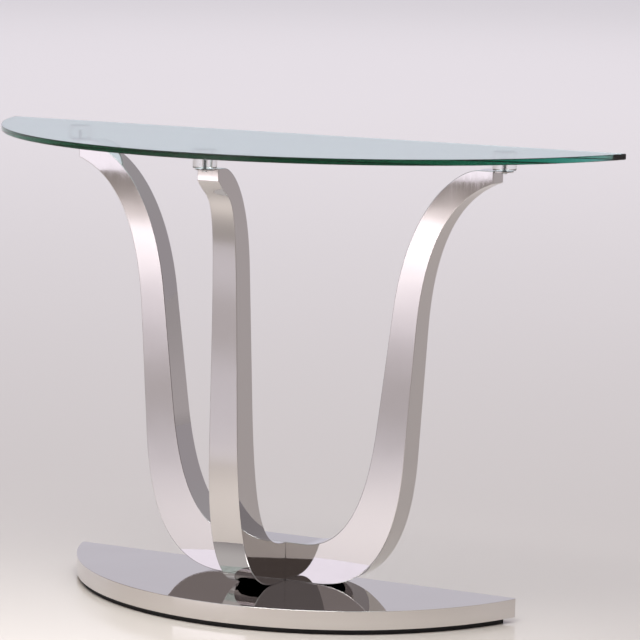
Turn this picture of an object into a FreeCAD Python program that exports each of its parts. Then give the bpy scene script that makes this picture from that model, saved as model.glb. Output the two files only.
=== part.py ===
import FreeCAD
import Part
import os

# Half-moon console table: a glass top on three clear discs, three tapered box-section legs
# that sweep up from one junction, and a low half-moon base. Millimetres, +Z up.
# The origin is the bottom centre of the whole table: X runs along the wall, +Y is the wall side.

Vector = FreeCAD.Vector
doc = FreeCAD.newDocument("console_table")

# ---------------------------------------------------------------- driving dimensions
DIMENSIONS = {
    # glass top
    "overall_height": 808,
    "glass_length": 1200,
    "glass_depth": 445,
    "glass_thick": 10,
    "glass_corner": 3,
    "glass_arris": 1,
    # clear discs between glass and legs
    "pad_diameter": 34,
    "pad_thick": 1,
    "disc_diameter": 40,
    "disc_thick": 22,
    "disc_arris": 0.8,
    "disc_bore_depth": 17,
    "disc_overhang": 11,
    "gasket_diameter": 28,
    "gasket_thick": 1,
    "disc_screw": 6,
    "disc_screw_reach": 14,
    "disc_screw_head": 11,
    "disc_screw_head_thick": 3.2,
    "disc_screw_socket": 4,
    "disc_screw_socket_depth": 2,
    # legs
    "leg_setback": 76,
    "leg_sheet": 2,
    "leg_foot_width": 63,
    "leg_tip_width": 40,
    "leg_foot_thick": 67,
    "leg_tip_thick": 22,
    "side_reach": 403,
    "front_reach": 267,
    "lug_width": 32,
    "closing_plate_thick": 3,
    # base
    "base_length": 865,
    "base_depth": 308,
    "base_setback": 22,
    "base_corner": 5,
    "base_sheet": 1.2,
    "base_edge_round": 0.8,
    "rim_height": 32,
    "plinth_height": 9,
    "plinth_inset": 6,
    "plinth_back_inset": 23,
    # foot plates and the bolts that hold the legs down
    "foot_plate_thick": 6,
    "foot_plate_edge": 6,
    "side_bolt_near": 30,
    "side_bolt_far": 68,
    "front_bolt": 53,
    "bolt_size": 8,
    "bolt_clearance": 9,
    "bolt_head": 13,
    "bolt_head_thick": 5.3,
    "bolt_reach": 1.4,
    "washer_diameter": 17,
    "washer_thick": 1.6,
    "bolt_pocket": 22,
    "bolt_pocket_depth": 11,
    # screws that hold the plinth to the core
    "plinth_screw": 4,
    "plinth_screw_head": 8,
    "plinth_screw_length": 26,
    "plinth_screw_sunk": 1,
    "plinth_screw_inset": 45,
    "plinth_screw_back": 173,
    "plinth_screw_angle": 44,
    # shared: the gap left round a part that fits into another, and how far a cutting
    # tool runs past the face it opens
    "fit_gap": 0.3,
    "overshoot": 1,
}

# Each flank of a leg is a flat run, a foot bend, a leaning stem and a flare to the tip.
# flat: where the foot bend starts. stem_out, stem_up: where the stem starts, from the junction
# and the base. lean: the stem's slope. flare_drop: how far below the leg's top the flare starts.
# The four pulls are the lengths of the curve handles, in the order they are met.
FLANKS = {
    "side_outer": {"flat": 90, "foot_pull": 120, "stem_out": 254, "stem_up": 232, "stem_pull": 125,
                   "lean": 0.07, "flare_drop": 282, "flare_pull": 128, "tip_pull": 95, "tip_rise": 0.36},
    "side_inner": {"flat": 65, "foot_pull": 96, "stem_out": 200, "stem_up": 283, "stem_pull": 96,
                   "lean": 0.12, "flare_drop": 250, "flare_pull": 200, "tip_pull": 30, "tip_rise": 0},
    "front_outer": {"flat": 71, "foot_pull": 125, "stem_out": 203, "stem_up": 264, "stem_pull": 96,
                    "lean": 0.01, "flare_drop": 284, "flare_pull": 260, "tip_pull": 64, "tip_rise": 1.08},
    "front_inner": {"flat": 32, "foot_pull": 80, "stem_out": 150, "stem_up": 322, "stem_pull": 197,
                    "lean": 0.04, "flare_drop": 175, "flare_pull": 140, "tip_pull": 26, "tip_rise": 0},
}
# How far the level top of each leg runs back from its tip.
LEVEL_TOP = {"side_level": 28, "front_level": 18}
# Spans of the smooth curve that a bent strip's inner face follows.
CURVE_STEPS = 16
# Lengths that differ by less than this count as equal.
TINY = 1e-6


def fill_sheet():
    """Write every driving dimension to the spreadsheet, one row each, with its alias."""
    table = doc.addObject("Spreadsheet::Sheet", "sizes")
    entries = dict(DIMENSIONS)
    entries.update(LEVEL_TOP)
    for flank_name, flank in FLANKS.items():
        for part_name, amount in flank.items():
            entries[flank_name + "_" + part_name] = amount
    for row, (alias, amount) in enumerate(entries.items(), start=1):
        table.set("A%d" % row, alias)
        table.set("B%d" % row, str(amount))
        table.setAlias("B%d" % row, alias)
    doc.recompute()
    return table


sheet = fill_sheet()


def size(alias):
    """The value of one named dimension, as a plain number of millimetres."""
    return float(sheet.get(alias))


def expr(text):
    """Turn $name into a reference to the spreadsheet cell of that name."""
    words = text.split("$")
    return words[0] + "".join("sizes." + word for word in words[1:])


# ---------------------------------------------------------------- places worked out from them
GLASS_LOW = "($overall_height - $glass_thick)"
LEG_TOP = "($overall_height - $glass_thick - $pad_thick - $disc_thick - $gasket_thick)"
BASE_TOP = "($plinth_height + $rim_height)"
GLASS_BACK = "($glass_depth / 2)"
BASE_BACK = "($glass_depth / 2 - $base_setback)"
LEG_LINE = "($glass_depth / 2 - $leg_setback)"
# The front arc of a half-moon whose rounded corners just reach the stated overall length.
ARC_RADIUS = "((($LENGTH / 2 - $CORNER)^2 + $DEPTH^2 - 2 * $DEPTH * $CORNER) / (2 * ($DEPTH - 2 * $CORNER)))"


def arc_radius(plate):
    words = {"LENGTH": plate + "_length", "DEPTH": plate + "_depth", "CORNER": plate + "_corner"}
    text = ARC_RADIUS
    for word, alias in words.items():
        text = text.replace(word, alias)
    return text


GLASS_RADIUS = arc_radius("glass")
BASE_RADIUS = arc_radius("base")

leg_top = size("overall_height") - size("glass_thick") - size("pad_thick") \
    - size("disc_thick") - size("gasket_thick")
base_top = size("plinth_height") + size("rim_height")
leg_line = size("glass_depth") / 2 - size("leg_setback")
sheet_thick = size("leg_sheet")
UPRIGHT = FreeCAD.Rotation(Vector(1, 0, 0), 90)

sub_parts = []


def publish(item, label):
    """Give a finished sub-part its name and put it on the list of pieces to write out."""
    item.Label = label
    sub_parts.append(item)
    return item


def bind(item, **texts):
    """Bind properties of an object to the spreadsheet."""
    for name, text in texts.items():
        item.setExpression(name.replace("__", "."), expr(text))
    return item


def place(item, x="0", y="0", z="0"):
    """Bind an object's position to the spreadsheet."""
    item.setExpression("Placement.Base.x", expr(x))
    item.setExpression("Placement.Base.y", expr(y))
    item.setExpression("Placement.Base.z", expr(z))
    return item


def box(name, length, width, height, x="0", y="0", z="0"):
    item = doc.addObject("Part::Box", name)
    bind(item, Length=length, Width=width, Height=height)
    return place(item, x, y, z)


def cylinder(name, diameter, height, x="0", y="0", z="0"):
    item = doc.addObject("Part::Cylinder", name)
    bind(item, Radius="%s / 2" % diameter, Height=height)
    return place(item, x, y, z)


def cone(name, low_diameter, high_diameter, height, x="0", y="0", z="0"):
    item = doc.addObject("Part::Cone", name)
    bind(item, Radius1="%s / 2" % low_diameter, Radius2="%s / 2" % high_diameter, Height=height)
    return place(item, x, y, z)


def common(name, first, second):
    item = doc.addObject("Part::Common", name)
    item.Base = first
    item.Tool = second
    return item


def cut(name, first, second):
    item = doc.addObject("Part::Cut", name)
    item.Base = first
    item.Tool = second
    return item


def fuse(name, items):
    if len(items) == 1:
        return items[0]
    item = doc.addObject("Part::MultiFuse", name)
    item.Shapes = items
    item.Refine = True
    return item


def group(name, items):
    item = doc.addObject("Part::Compound", name)
    item.Links = items
    return item


def eased(kind, name, base, amount, wanted):
    """Ease the edges of a solid that the test picks out, with a fillet or a chamfer."""
    doc.recompute()
    item = doc.addObject("Part::" + kind, name)
    item.Base = base
    edges = base.Shape.Edges
    item.Edges = [(number, amount, amount) for number, edge in enumerate(edges, 1) if wanted(edge)]
    return item


def rounded(name, base, radius, wanted):
    return eased("Fillet", name, base, radius, wanted)


def bevelled(name, base, width, wanted):
    return eased("Chamfer", name, base, width, wanted)


def is_upright(edge):
    return edge.BoundBox.XLength < TINY and edge.BoundBox.YLength < TINY


def is_level_at(height):
    return lambda edge: abs(edge.BoundBox.ZMin - height) < TINY and edge.BoundBox.ZLength < TINY


# ---------------------------------------------------------------- half-moon plates
def half_moon(name, radius, centre, back, low, height):
    """A plate bounded by a straight back edge and one front arc about a centre on the Y axis."""
    arc = cylinder(name + "_arc", "2 * " + radius, height, y=centre, z=low)
    keep = box(name + "_keep", "2 * " + radius, "2 * " + radius, height,
               x="-" + radius, y=back + " - 2 * " + radius, z=low)
    return common(name + "_plate", arc, keep)


def glass_top():
    centre = "(%s - $glass_depth + %s)" % (GLASS_BACK, GLASS_RADIUS)
    plate = half_moon("glass", GLASS_RADIUS, centre, GLASS_BACK, GLASS_LOW, "$glass_thick")
    outline = rounded("glass_corners", plate, size("glass_corner"), is_upright)
    top = size("overall_height")
    low = top - size("glass_thick")
    ground = bevelled("glass_ground", outline, size("glass_arris"),
                      lambda edge: is_level_at(top)(edge) or is_level_at(low)(edge))
    publish(ground, "glass_top")


def base_moon(name, inset, low, height):
    """A half-moon that follows the base's outline, set in by one distance all round."""
    centre = "(%s - $base_depth + %s)" % (BASE_BACK, BASE_RADIUS)
    radius = "(%s - %s)" % (BASE_RADIUS, inset)
    back = "(%s - %s)" % (BASE_BACK, inset)
    return half_moon(name, radius, centre, back, low, height)


def bolt_places():
    """Where the bolts stand: two under each side leg, one under the front leg."""
    spots = []
    for along in ("$side_bolt_near", "$side_bolt_far"):
        spots.append(("right", along, LEG_LINE))
        spots.append(("left", "-" + along, LEG_LINE))
    spots.append(("front", "0", "%s - $front_bolt" % LEG_LINE))
    return spots


def bolt_holes(name, diameter, low, height):
    holes = []
    for number, (_, x, y) in enumerate(bolt_places()):
        holes.append(cylinder("%s_%d" % (name, number), diameter, height, x=x, y=y, z=low))
    return holes


def plinth_screw_places():
    """Five screws near the plinth's edge: three along the arc and two along the back."""
    centre = "(%s - $base_depth + %s)" % (BASE_BACK, BASE_RADIUS)
    ring = "(%s - $plinth_screw_inset)" % BASE_RADIUS
    spots = []
    for turn in (-1, 0, 1):
        angle = "%d * $plinth_screw_angle" % turn
        spots.append(("%s * sin(%s)" % (ring, angle), "%s - %s * cos(%s)" % (centre, ring, angle)))
    for side in ("-", ""):
        spots.append((side + "$plinth_screw_back",
                      "%s - $plinth_back_inset - $plinth_screw_inset / 2" % BASE_BACK))
    return spots


def plinth_screw_holes(name, low, height):
    """Clearance for the shanks of the plinth's screws."""
    return [cylinder("%s_%d" % (name, number), "($plinth_screw + $fit_gap)", height, x=x, y=y, z=low)
            for number, (x, y) in enumerate(plinth_screw_places())]


def base_core():
    """The board inside the sheet-metal cover; it takes every screw and bolt head."""
    plate = base_moon("core", "$base_sheet", "$plinth_height", "$rim_height - $base_sheet")
    outline = rounded("core_corners", plate, size("base_corner") - size("base_sheet"), is_upright)
    pockets = bolt_holes("core_pocket", "$bolt_pocket", "$plinth_height", "$bolt_pocket_depth")
    holes = bolt_holes("core_hole", "$bolt_clearance", "$plinth_height", "$rim_height")
    pilots = plinth_screw_holes("core_pilot", "$plinth_height",
                                "$plinth_screw_length - $plinth_height + 2 * $overshoot")
    tools = fuse("core_tools", pockets + holes + pilots)
    publish(cut("core_drilled", outline, tools), "base_core")


def base_cover():
    """The mirror-polished cover: a flat sheet on top and one band bent round the edge."""
    plate = base_moon("top", "0", BASE_TOP + " - $base_sheet", "$base_sheet")
    outline = rounded("top_corners", plate, size("base_corner"), is_upright)
    holes = bolt_holes("top_hole", "$bolt_clearance", BASE_TOP + " - $base_sheet - $overshoot",
                       "($base_sheet + 2 * $overshoot)")
    drilled = cut("top_drilled", outline, fuse("top_tools", holes))
    top_edge = rounded("top_edge", drilled, size("base_edge_round"),
                       lambda edge: is_level_at(base_top)(edge) and not edge.isClosed())
    publish(top_edge, "base_top_sheet")

    corner = size("base_corner")
    outer = base_moon("band_outer", "0", "$plinth_height", "$rim_height - $base_sheet")
    inner = base_moon("band_inner", "$base_sheet", "$plinth_height - $overshoot",
                      "$rim_height + $overshoot")
    outside = rounded("band_outer_corners", outer, corner, is_upright)
    inside = rounded("band_inner_corners", inner, corner - size("base_sheet"), is_upright)
    publish(cut("band", outside, inside), "base_rim_band")


def base_plinth():
    """The black board under the core, set back so that the base seems to float."""
    centre = "(%s - $base_depth + %s)" % (BASE_BACK, BASE_RADIUS)
    plate = half_moon("plinth", "(%s - $plinth_inset)" % BASE_RADIUS, centre,
                      "(%s - $plinth_back_inset)" % BASE_BACK, "0", "$plinth_height")
    through = "$plinth_height + 2 * $overshoot"
    openings = bolt_holes("plinth_pocket", "$bolt_pocket", "-$overshoot", through)
    openings += plinth_screw_holes("plinth_hole", "-$overshoot", through)
    sink_top = "$plinth_screw_head + 2 * $overshoot"
    for number, (x, y) in enumerate(plinth_screw_places()):
        openings.append(cone("plinth_sink_%d" % number, "(%s)" % sink_top, "$plinth_screw",
                             "(%s) / 2" % sink_top, x=x, y=y))
    publish(cut("plinth_drilled", plate, fuse("plinth_tools", openings)), "base_plinth")


# ---------------------------------------------------------------- fasteners
def leg_bolts():
    seat = "($plinth_height + $bolt_pocket_depth)"
    tip = "(%s + $leg_sheet + $foot_plate_thick + $bolt_reach)" % BASE_TOP
    bolts = []
    washers = []
    for number, (_, x, y) in enumerate(bolt_places()):
        head = doc.addObject("Part::Prism", "bolt_head_%d" % number)
        head.Polygon = 6
        bind(head, Circumradius="$bolt_head / 2 / cos(30)", Height="$bolt_head_thick")
        under = "(%s - $washer_thick)" % seat
        place(head, x, y, "%s - $bolt_head_thick" % under)
        shank = cylinder("bolt_shank_%d" % number, "$bolt_size", "%s - %s" % (tip, under),
                         x=x, y=y, z=under)
        bolts.append(fuse("bolt_%d" % number, [head, shank]))
        disc = cylinder("washer_disc_%d" % number, "$washer_diameter", "$washer_thick",
                        x=x, y=y, z=under)
        hole = cylinder("washer_hole_%d" % number, "($bolt_size + $fit_gap)",
                        "$washer_thick + 2 * $overshoot", x=x, y=y, z="%s - $overshoot" % under)
        washers.append(cut("washer_%d" % number, disc, hole))
    publish(group("all_bolts", bolts), "leg_bolts")
    publish(group("all_washers", washers), "leg_bolt_washers")


def plinth_screws():
    screws = []
    for number, (x, y) in enumerate(plinth_screw_places()):
        head = cone("screw_head_%d" % number, "$plinth_screw_head", "$plinth_screw",
                    "($plinth_screw_head - $plinth_screw) / 2", x=x, y=y, z="$plinth_screw_sunk")
        shank = cylinder("screw_shank_%d" % number, "$plinth_screw",
                         "$plinth_screw_length - $plinth_screw_sunk",
                         x=x, y=y, z="$plinth_screw_sunk")
        screws.append(fuse("plinth_screw_%d" % number, [head, shank]))
    publish(group("all_plinth_screws", screws), "plinth_screws")


# ---------------------------------------------------------------- legs
def flank_wire(flank, reach, start_height, tip_height):
    """One flank of a leg in the XZ plane, from the junction at x = 0 to the tip."""
    lean = flank["lean"]
    rise = flank["tip_rise"]
    stem_way = Vector(lean, 0, 1).normalize()
    tip_way = Vector(1, 0, rise).normalize()
    start = Vector(0, 0, start_height)
    bend = Vector(flank["flat"], 0, start_height)
    stem_low = Vector(flank["stem_out"], 0, base_top + flank["stem_up"])
    stem_run = leg_top - flank["flare_drop"] - stem_low.z
    stem_high = stem_low + stem_way * (stem_run / stem_way.z)
    tip = Vector(reach, 0, tip_height)
    foot_curve = Part.BezierCurve()
    foot_curve.setPoles([bend, bend + Vector(flank["foot_pull"], 0, 0),
                         stem_low - stem_way * flank["stem_pull"], stem_low])
    flare_curve = Part.BezierCurve()
    flare_curve.setPoles([stem_high, stem_high + stem_way * flank["flare_pull"],
                          tip - tip_way * flank["tip_pull"], tip])
    return [Part.LineSegment(start, bend).toShape(), foot_curve.toShape(),
            Part.LineSegment(stem_low, stem_high).toShape(), flare_curve.toShape()]


def flank_values(name):
    return {key: size(name + "_" + key) for key in FLANKS[name]}


def leg_faces(kind):
    """The flat outlines that a leg's plates are cut to, all in the XZ plane."""
    reach = size(kind + "_reach")
    level = size(kind + "_level")
    tip_low = leg_top - size("leg_tip_thick")
    foot_high = base_top + size("leg_foot_thick")
    outer = flank_wire(flank_values(kind + "_outer"), reach, base_top, tip_low)
    inner = flank_wire(flank_values(kind + "_inner"), reach - level, foot_high, leg_top)
    level_end = Vector(reach, 0, leg_top)
    inner.append(Part.LineSegment(Vector(reach - level, 0, leg_top), level_end).toShape())
    tip_edge = Part.LineSegment(Vector(reach, 0, tip_low), level_end).toShape()
    foot_edge = Part.LineSegment(Vector(0, 0, base_top), Vector(0, 0, foot_high)).toShape()
    return {"outline": face_within(outer + [tip_edge] + inner + [foot_edge]),
            "outer_strip": strip_face(outer, sheet_thick),
            "inner_strip": strip_face(inner, -sheet_thick)}


def face_within(edges):
    return Part.Face(Part.Wire(Part.__sortEdges__(edges)))


def strip_face(flank, shift):
    """The band between a flank and its copy, shifted square to the flank into the leg."""
    copies = []
    ends = []
    for edge in flank:
        first, last = edge.ParameterRange
        steps = CURVE_STEPS if isinstance(edge.Curve, Part.BezierCurve) else 1
        spots = []
        for step in range(steps + 1):
            at = first + (last - first) * step / steps
            along = edge.tangentAt(at)
            spots.append(edge.valueAt(at) + Vector(-along.z, 0, along.x) * shift)
        if steps == 1:
            curve = Part.LineSegment(*spots)
        else:
            curve = Part.BSplineCurve()
            curve.interpolate(Points=spots, InitialTangent=edge.tangentAt(first),
                              FinalTangent=edge.tangentAt(last))
        copies.append(curve.toShape())
        ends += [(edge.valueAt(first), spots[0]), (edge.valueAt(last), spots[-1])]
    closings = [Part.LineSegment(*ends[0]).toShape(), Part.LineSegment(*ends[-1]).toShape()]
    return face_within(flank + copies + closings)


def extruded(name, face):
    """Extrude a flat outline both ways across the leg's width."""
    flat = doc.addObject("Part::Feature", name + "_outline")
    flat.Shape = face
    item = doc.addObject("Part::Extrusion", name + "_block")
    item.Base = flat
    item.DirMode = "Custom"
    item.Dir = Vector(0, 1, 0)
    item.Solid = True
    item.Symmetric = True
    bind(item, LengthFwd="$leg_foot_width + 2 * $overshoot")
    return item


def taper(name, reach, low_side, high_side, foot_low, foot_high):
    """A block that narrows from foot to tip. Its sides are given at the foot and at the tip."""
    item = doc.addObject("Part::Wedge", name)
    bind(item, Xmin="0", X2min="0", Xmax=reach, X2max=reach, Ymin=foot_low, Ymax=foot_high,
         Zmin=low_side[0], Z2min=low_side[1], Zmax=high_side[0], Z2max=high_side[1])
    item.Placement = FreeCAD.Placement(Vector(0, 0, 0), UPRIGHT)
    return item


FOOT_HALF = "($leg_foot_width / 2)"
TIP_HALF = "($leg_tip_width / 2)"
INNER_FOOT_HALF = "($leg_foot_width / 2 - $leg_sheet)"
INNER_TIP_HALF = "($leg_tip_width / 2 - $leg_sheet)"
LEG_SIDES = {
    "full": (("-" + FOOT_HALF, "-" + TIP_HALF), (FOOT_HALF, TIP_HALF)),
    "inside": (("-" + INNER_FOOT_HALF, "-" + INNER_TIP_HALF), (INNER_FOOT_HALF, INNER_TIP_HALF)),
    "cheek_a": ((INNER_FOOT_HALF, INNER_TIP_HALF), (FOOT_HALF, TIP_HALF)),
    "cheek_b": (("-" + FOOT_HALF, "-" + TIP_HALF), ("-" + INNER_FOOT_HALF, "-" + INNER_TIP_HALF)),
}


def leg(side, kind, turn):
    """One leg: two cheeks, two bent strips, an end cap, a closing plate and a foot plate."""
    name = side + "_leg"
    faces = leg_faces(kind)
    reach = "$%s_reach" % kind
    body_end = "(%s - $leg_sheet)" % reach
    sides = {key: taper(name + "_" + key, body_end, low, high, BASE_TOP, LEG_TOP)
             for key, (low, high) in LEG_SIDES.items()}
    pieces = {}

    outline = extruded(name + "_profile", faces["outline"])
    for cheek in ("cheek_a", "cheek_b"):
        plate = common(name + "_" + cheek + "_plate", outline, sides[cheek])
        pieces[cheek] = plate
    outer_block = extruded(name + "_outer_strip", faces["outer_strip"])
    pieces["outer_strip"] = common(name + "_outer_cut", outer_block, sides["inside"])
    inner_block = extruded(name + "_inner_strip", faces["inner_strip"])
    inner_band = common(name + "_inner_cut", inner_block, sides["inside"])
    pieces["inner_strip"] = inner_strip_with_lug(name, inner_band, reach, body_end)

    cap_zone = box(name + "_cap_zone", "$leg_sheet", "$leg_tip_width * 2",
                   "$leg_tip_thick * 2", x=body_end, y="-$leg_tip_width",
                   z=LEG_TOP + " - $leg_sheet - $leg_tip_thick * 2")
    full_taper = taper(name + "_cap_sides", reach, LEG_SIDES["full"][0], LEG_SIDES["full"][1],
                       BASE_TOP, LEG_TOP)
    cap_block = common(name + "_cap_block", outline, full_taper)
    pieces["end_cap"] = common(name + "_cap_cut", cap_block, cap_zone)

    pieces["closing_plate"] = closing_plate(name, kind)
    pieces["foot_plate"] = foot_plate(name, kind)

    if kind == "front":
        for key in ("cheek_a", "cheek_b", "outer_strip", "inner_strip"):
            pieces[key] = cut(name + "_" + key + "_mitre", pieces[key], junction_block(name + key))
    doc.recompute()

    spot = FreeCAD.Placement(Vector(0, leg_line, 0), FreeCAD.Rotation(Vector(0, 0, 1), turn))
    cheek_names = {"left": ("back", "front"), "right": ("front", "back"), "front": ("left", "right")}
    names = dict(zip(("cheek_a", "cheek_b"), cheek_names[side]))
    for key, item in pieces.items():
        item.Placement = spot
        item.setExpression("Placement.Base.y", expr(LEG_LINE))
        label = "cheek_" + names[key] if key in names else key
        publish(item, name + "_" + label)


def inner_strip_with_lug(name, band, reach, body_end):
    """The upper strip runs past the end cap as a lug with a hole for the disc's screw."""
    low = LEG_TOP + " - $leg_sheet"
    axis = "(%s + $disc_overhang)" % reach
    lip = box(name + "_lip", "$leg_sheet", "$leg_tip_width", "$leg_sheet",
              x=body_end, y="-" + TIP_HALF, z=low)
    tongue = box(name + "_tongue", "$disc_overhang + $leg_sheet", "$lug_width", "$leg_sheet",
                 x=body_end, y="-$lug_width / 2", z=low)
    nose = cylinder(name + "_nose", "$lug_width", "$leg_sheet", x=axis, z=low)
    blank = fuse(name + "_strip_blank", [band, lip, tongue, nose])
    hole = cylinder(name + "_lug_hole", "($disc_screw + 2 * $fit_gap)", "3 * $leg_sheet",
                    x=axis, z=LEG_TOP + " - 2 * $leg_sheet")
    return cut(name + "_strip_drilled", blank, hole)


def junction_block(name):
    """The space that the two side legs fill, seen from the front leg's own frame."""
    item = taper(name + "_junction", "2 * $leg_foot_width", LEG_SIDES["full"][0],
                 LEG_SIDES["full"][1], BASE_TOP, LEG_TOP)
    turned = FreeCAD.Rotation(Vector(0, 0, 1), 90).multiply(UPRIGHT)
    item.Placement = FreeCAD.Placement(Vector(0, 0, 0), turned)
    item.setExpression("Placement.Base.y", expr("-$leg_foot_width"))
    return item


def closing_plate(name, kind):
    """Plate welded inside the open foot end, where the legs meet."""
    x = "$leg_foot_width / 2 + $fit_gap" if kind == "front" else "0"
    width = "(2 * (%s - ($leg_foot_width - $leg_tip_width) / 2 * $leg_foot_thick" \
            " / (%s - %s)) - 2 * $fit_gap)" % (INNER_FOOT_HALF, LEG_TOP, BASE_TOP)
    height = "($leg_foot_thick - 2 * $leg_sheet)"
    blank = box(name + "_closing_blank", "$closing_plate_thick", width, height, x=x,
                y="-%s / 2" % width, z=BASE_TOP + " + $leg_sheet")
    return group(name + "_closing", [blank])


def foot_plate(name, kind):
    """Tapped plate that lies in the foot, on the lower strip, for the bolts from below."""
    if kind == "front":
        first = "($leg_foot_width / 2 + $closing_plate_thick + 2 * $fit_gap)"
        last = "$front_outer_flat"
        bolts = ["$front_bolt"]
    else:
        first = "($closing_plate_thick + $fit_gap)"
        last = "$side_outer_flat"
        bolts = ["$side_bolt_near", "$side_bolt_far"]
    width = "($leg_foot_width - 2 * $leg_sheet - 2 * $foot_plate_edge)"
    plate = box(name + "_foot_blank", "%s - %s" % (last, first), width, "$foot_plate_thick",
                x=first, y="-%s / 2" % width, z=BASE_TOP + " + $leg_sheet")
    holes = [cylinder("%s_foot_hole_%d" % (name, number), "($bolt_size + $fit_gap)",
                      "$foot_plate_thick * 3", x=at, z=BASE_TOP + " - $foot_plate_thick")
             for number, at in enumerate(bolts)]
    return cut(name + "_foot_drilled", plate, fuse(name + "_foot_tools", holes))


def drill_lower_strips():
    """Open the lower strip of each leg where the bolts pass through it."""
    for index, item in enumerate(list(sub_parts)):
        if item.Label.endswith("_outer_strip"):
            side = item.Label.split("_")[0]
            label = item.Label
            tools = [cylinder("%s_strip_hole_%d" % (side, number), "$bolt_clearance",
                              "$foot_plate_thick * 2", x=x, y=y, z=BASE_TOP + " - $foot_plate_thick")
                     for number, (owner, x, y) in enumerate(bolt_places()) if owner == side]
            item.Label = label + "_bent"
            drilled = cut(side + "_outer_strip_drilled", item, fuse(side + "_strip_tools", tools))
            drilled.Label = label
            sub_parts[index] = drilled


# ---------------------------------------------------------------- discs between legs and glass
def disc_stack(side, x, y):
    """Gasket, clear disc and clear pad stacked on one leg's lug."""
    gasket_low = LEG_TOP
    disc_low = "(%s + $gasket_thick)" % LEG_TOP
    pad_low = "(%s + $disc_thick)" % disc_low
    ring = cylinder(side + "_gasket_blank", "$gasket_diameter", "$gasket_thick", x, y, gasket_low)
    ring_hole = cylinder(side + "_gasket_hole", "($disc_screw + $fit_gap)",
                         "$gasket_thick + 2 * $overshoot", x, y, gasket_low + " - $overshoot")
    publish(cut(side + "_gasket", ring, ring_hole), "gasket_" + side)

    blank = cylinder(side + "_disc_blank", "$disc_diameter", "$disc_thick", x, y, disc_low)
    bore = cylinder(side + "_disc_bore", "($disc_screw + $fit_gap)",
                    "$disc_bore_depth + $overshoot", x, y, disc_low + " - $overshoot")
    drilled = cut(side + "_disc_drilled", blank, bore)
    rim = bevelled(side + "_disc_rim", drilled, size("disc_arris"),
                   lambda edge: edge.isClosed() and edge.BoundBox.XLength > size("gasket_diameter"))
    publish(rim, "clear_disc_" + side)

    pad = cylinder(side + "_pad", "$pad_diameter", "$pad_thick", x, y, pad_low)
    publish(pad, "clear_pad_" + side)


def disc_screw(side, x, y):
    """Round-head screw that comes up through the lug and the gasket into the disc."""
    head_low = "(%s - $leg_sheet - $disc_screw_head_thick)" % LEG_TOP
    head = cylinder(side + "_screw_head", "$disc_screw_head", "$disc_screw_head_thick",
                    x, y, head_low)
    shank = cylinder(side + "_screw_shank", "$disc_screw",
                     "$disc_screw_head_thick + $leg_sheet + $gasket_thick + $disc_screw_reach",
                     x, y, head_low)
    blank = fuse(side + "_screw_blank", [head, shank])
    socket = doc.addObject("Part::Prism", side + "_screw_socket")
    socket.Polygon = 6
    bind(socket, Circumradius="$disc_screw_socket / 2 / cos(30)",
         Height="$disc_screw_socket_depth + $overshoot")
    place(socket, x, y, head_low + " - $overshoot")
    return cut(side + "_disc_screw", blank, socket)


def discs():
    spots = {"left": ("-($side_reach + $disc_overhang)", LEG_LINE),
             "right": ("($side_reach + $disc_overhang)", LEG_LINE),
             "front": ("0", "%s - $front_reach - $disc_overhang" % LEG_LINE)}
    screws = []
    for side, (x, y) in spots.items():
        disc_stack(side, x, y)
        screws.append(disc_screw(side, x, y))
    publish(group("all_disc_screws", screws), "disc_screws")


# ---------------------------------------------------------------- build, check, write out
def check_and_write():
    doc.recompute()
    for item in doc.Objects:
        if "Invalid" in item.State or "Error" in item.State:
            raise RuntimeError("failed: %s (%s)" % (item.Name, item.Label))
    os.makedirs("parts", exist_ok=True)
    for item in sub_parts:
        shape = item.Shape
        if shape.isNull() or not shape.isValid() or not shape.Solids:
            raise RuntimeError("bad shape: " + item.Label)
    for item in sub_parts:
        item.Shape.exportStep(os.path.join("parts", item.Label + ".step"))
        print("%-28s solids %d  volume %.1f cm3" % (item.Label, len(item.Shape.Solids),
                                                    item.Shape.Volume / 1000))
    print("pieces:", len(sub_parts))


glass_top()
discs()
leg("right", "side", 0)
leg("left", "side", 180)
leg("front", "front", -90)
drill_lower_strips()
base_core()
base_cover()
base_plinth()
leg_bolts()
plinth_screws()
check_and_write()
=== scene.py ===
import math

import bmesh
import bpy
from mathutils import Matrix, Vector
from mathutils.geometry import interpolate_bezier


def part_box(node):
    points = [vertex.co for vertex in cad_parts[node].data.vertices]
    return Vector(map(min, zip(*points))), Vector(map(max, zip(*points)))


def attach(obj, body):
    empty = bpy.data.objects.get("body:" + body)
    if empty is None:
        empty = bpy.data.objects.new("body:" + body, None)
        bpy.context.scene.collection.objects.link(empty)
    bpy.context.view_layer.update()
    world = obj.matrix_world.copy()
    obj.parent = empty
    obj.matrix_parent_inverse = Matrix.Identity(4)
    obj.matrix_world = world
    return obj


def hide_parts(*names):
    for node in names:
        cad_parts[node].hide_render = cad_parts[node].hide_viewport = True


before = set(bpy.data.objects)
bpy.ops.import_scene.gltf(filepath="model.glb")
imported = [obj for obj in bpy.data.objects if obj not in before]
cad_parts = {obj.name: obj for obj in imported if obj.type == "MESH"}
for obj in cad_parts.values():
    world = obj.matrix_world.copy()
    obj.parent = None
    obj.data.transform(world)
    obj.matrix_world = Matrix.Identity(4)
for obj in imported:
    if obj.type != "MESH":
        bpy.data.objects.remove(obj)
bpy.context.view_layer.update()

# %% [markdown]
# # A half-moon console table
# The table has a clear glass top with one straight side for the wall and one curved side.
# Three tapered legs of mirror-polished steel sweep up from one point on a low half-moon base.
# Clear discs stand between the legs and the glass, so that the top seems to float.
# The imported CAD model is loaded first. It fixes every size and place, and each piece made
# here takes its place from it.

MM = 0.001

# %% [markdown]
# ## Helpers for colour and nodes
# A colour is easiest to choose as an sRGB hex value, as a paint chart gives it, but shaders
# work with linear light, so one function turns the one into the other.
# One more function adds a node to a material: it sets the node's options, and each input
# is given either a constant or a link from another node's output.

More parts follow.
